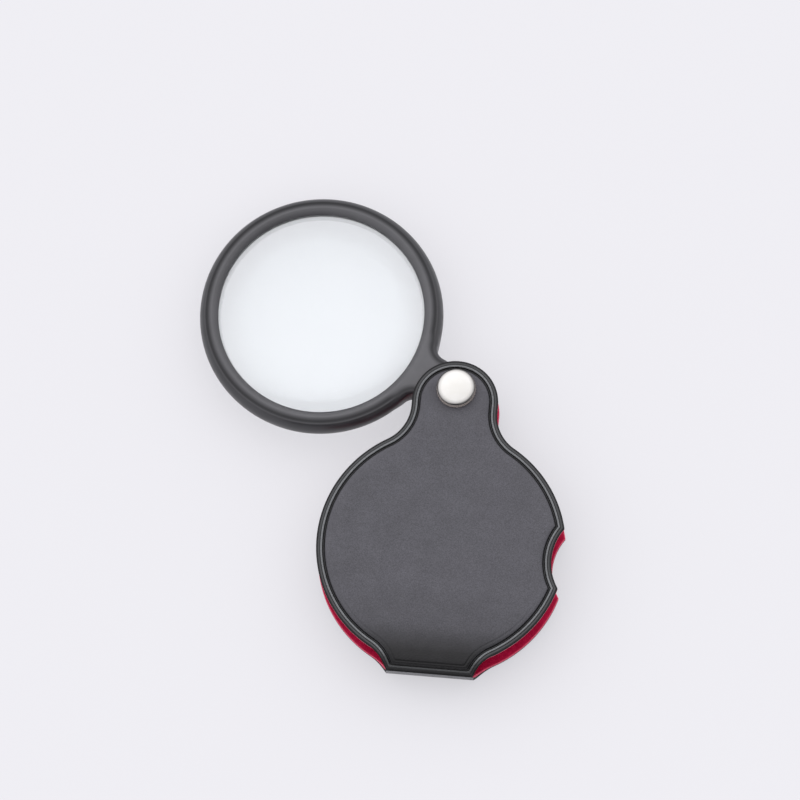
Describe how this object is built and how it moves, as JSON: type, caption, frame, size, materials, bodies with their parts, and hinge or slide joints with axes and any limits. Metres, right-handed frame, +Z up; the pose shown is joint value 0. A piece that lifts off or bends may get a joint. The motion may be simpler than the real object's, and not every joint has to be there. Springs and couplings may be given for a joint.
{
  "type": "hand lens",
  "caption": "Folding pocket hand lens: a biconvex glass in a black frame swings on a rivet out of a folded leatherette cover with a crimson lining.",
  "frame": {"origin": "centre of the whole object's plan at rest, on the plane that the back rivet cap's lowest point touches", "axes": "+Z is up, along the rivet's axis and out of the front leaf; -Y runs from the rivet to the cover's fold; +X is the side with the thumb notch"},
  "size_m": [0.0914, 0.115, 0.0153],
  "materials": {
    "black_leatherette": "fine-grained satin",
    "crimson_lining": "smooth satin",
    "stiffener_board": "matte grey board",
    "black_plastic": "satin gloss",
    "lens_glass": "clear polished",
    "nickel": "polished nickel plate",
    "rivet_steel": "plain plated steel"
  },
  "bodies": {
    "case": {"outer_skin": "black_leatherette", "lining": "crimson_lining", "front_board": "stiffener_board", "back_board": "stiffener_board", "front_rivet_cap": "nickel", "back_rivet_cap": "nickel", "rivet_post": "rivet_steel", "rivet_socket": "rivet_steel"},
    "magnifier": {"lens_frame": "black_plastic", "lens": "lens_glass"}
  },
  "joints": [
    {"name": "lens_swivel", "type": "hinge", "parent": "case", "child": "magnifier", "pos_m": [0.01711, 0.01168, 0.00765], "axis": [0, 0, 1], "continuous": true}
  ]
}
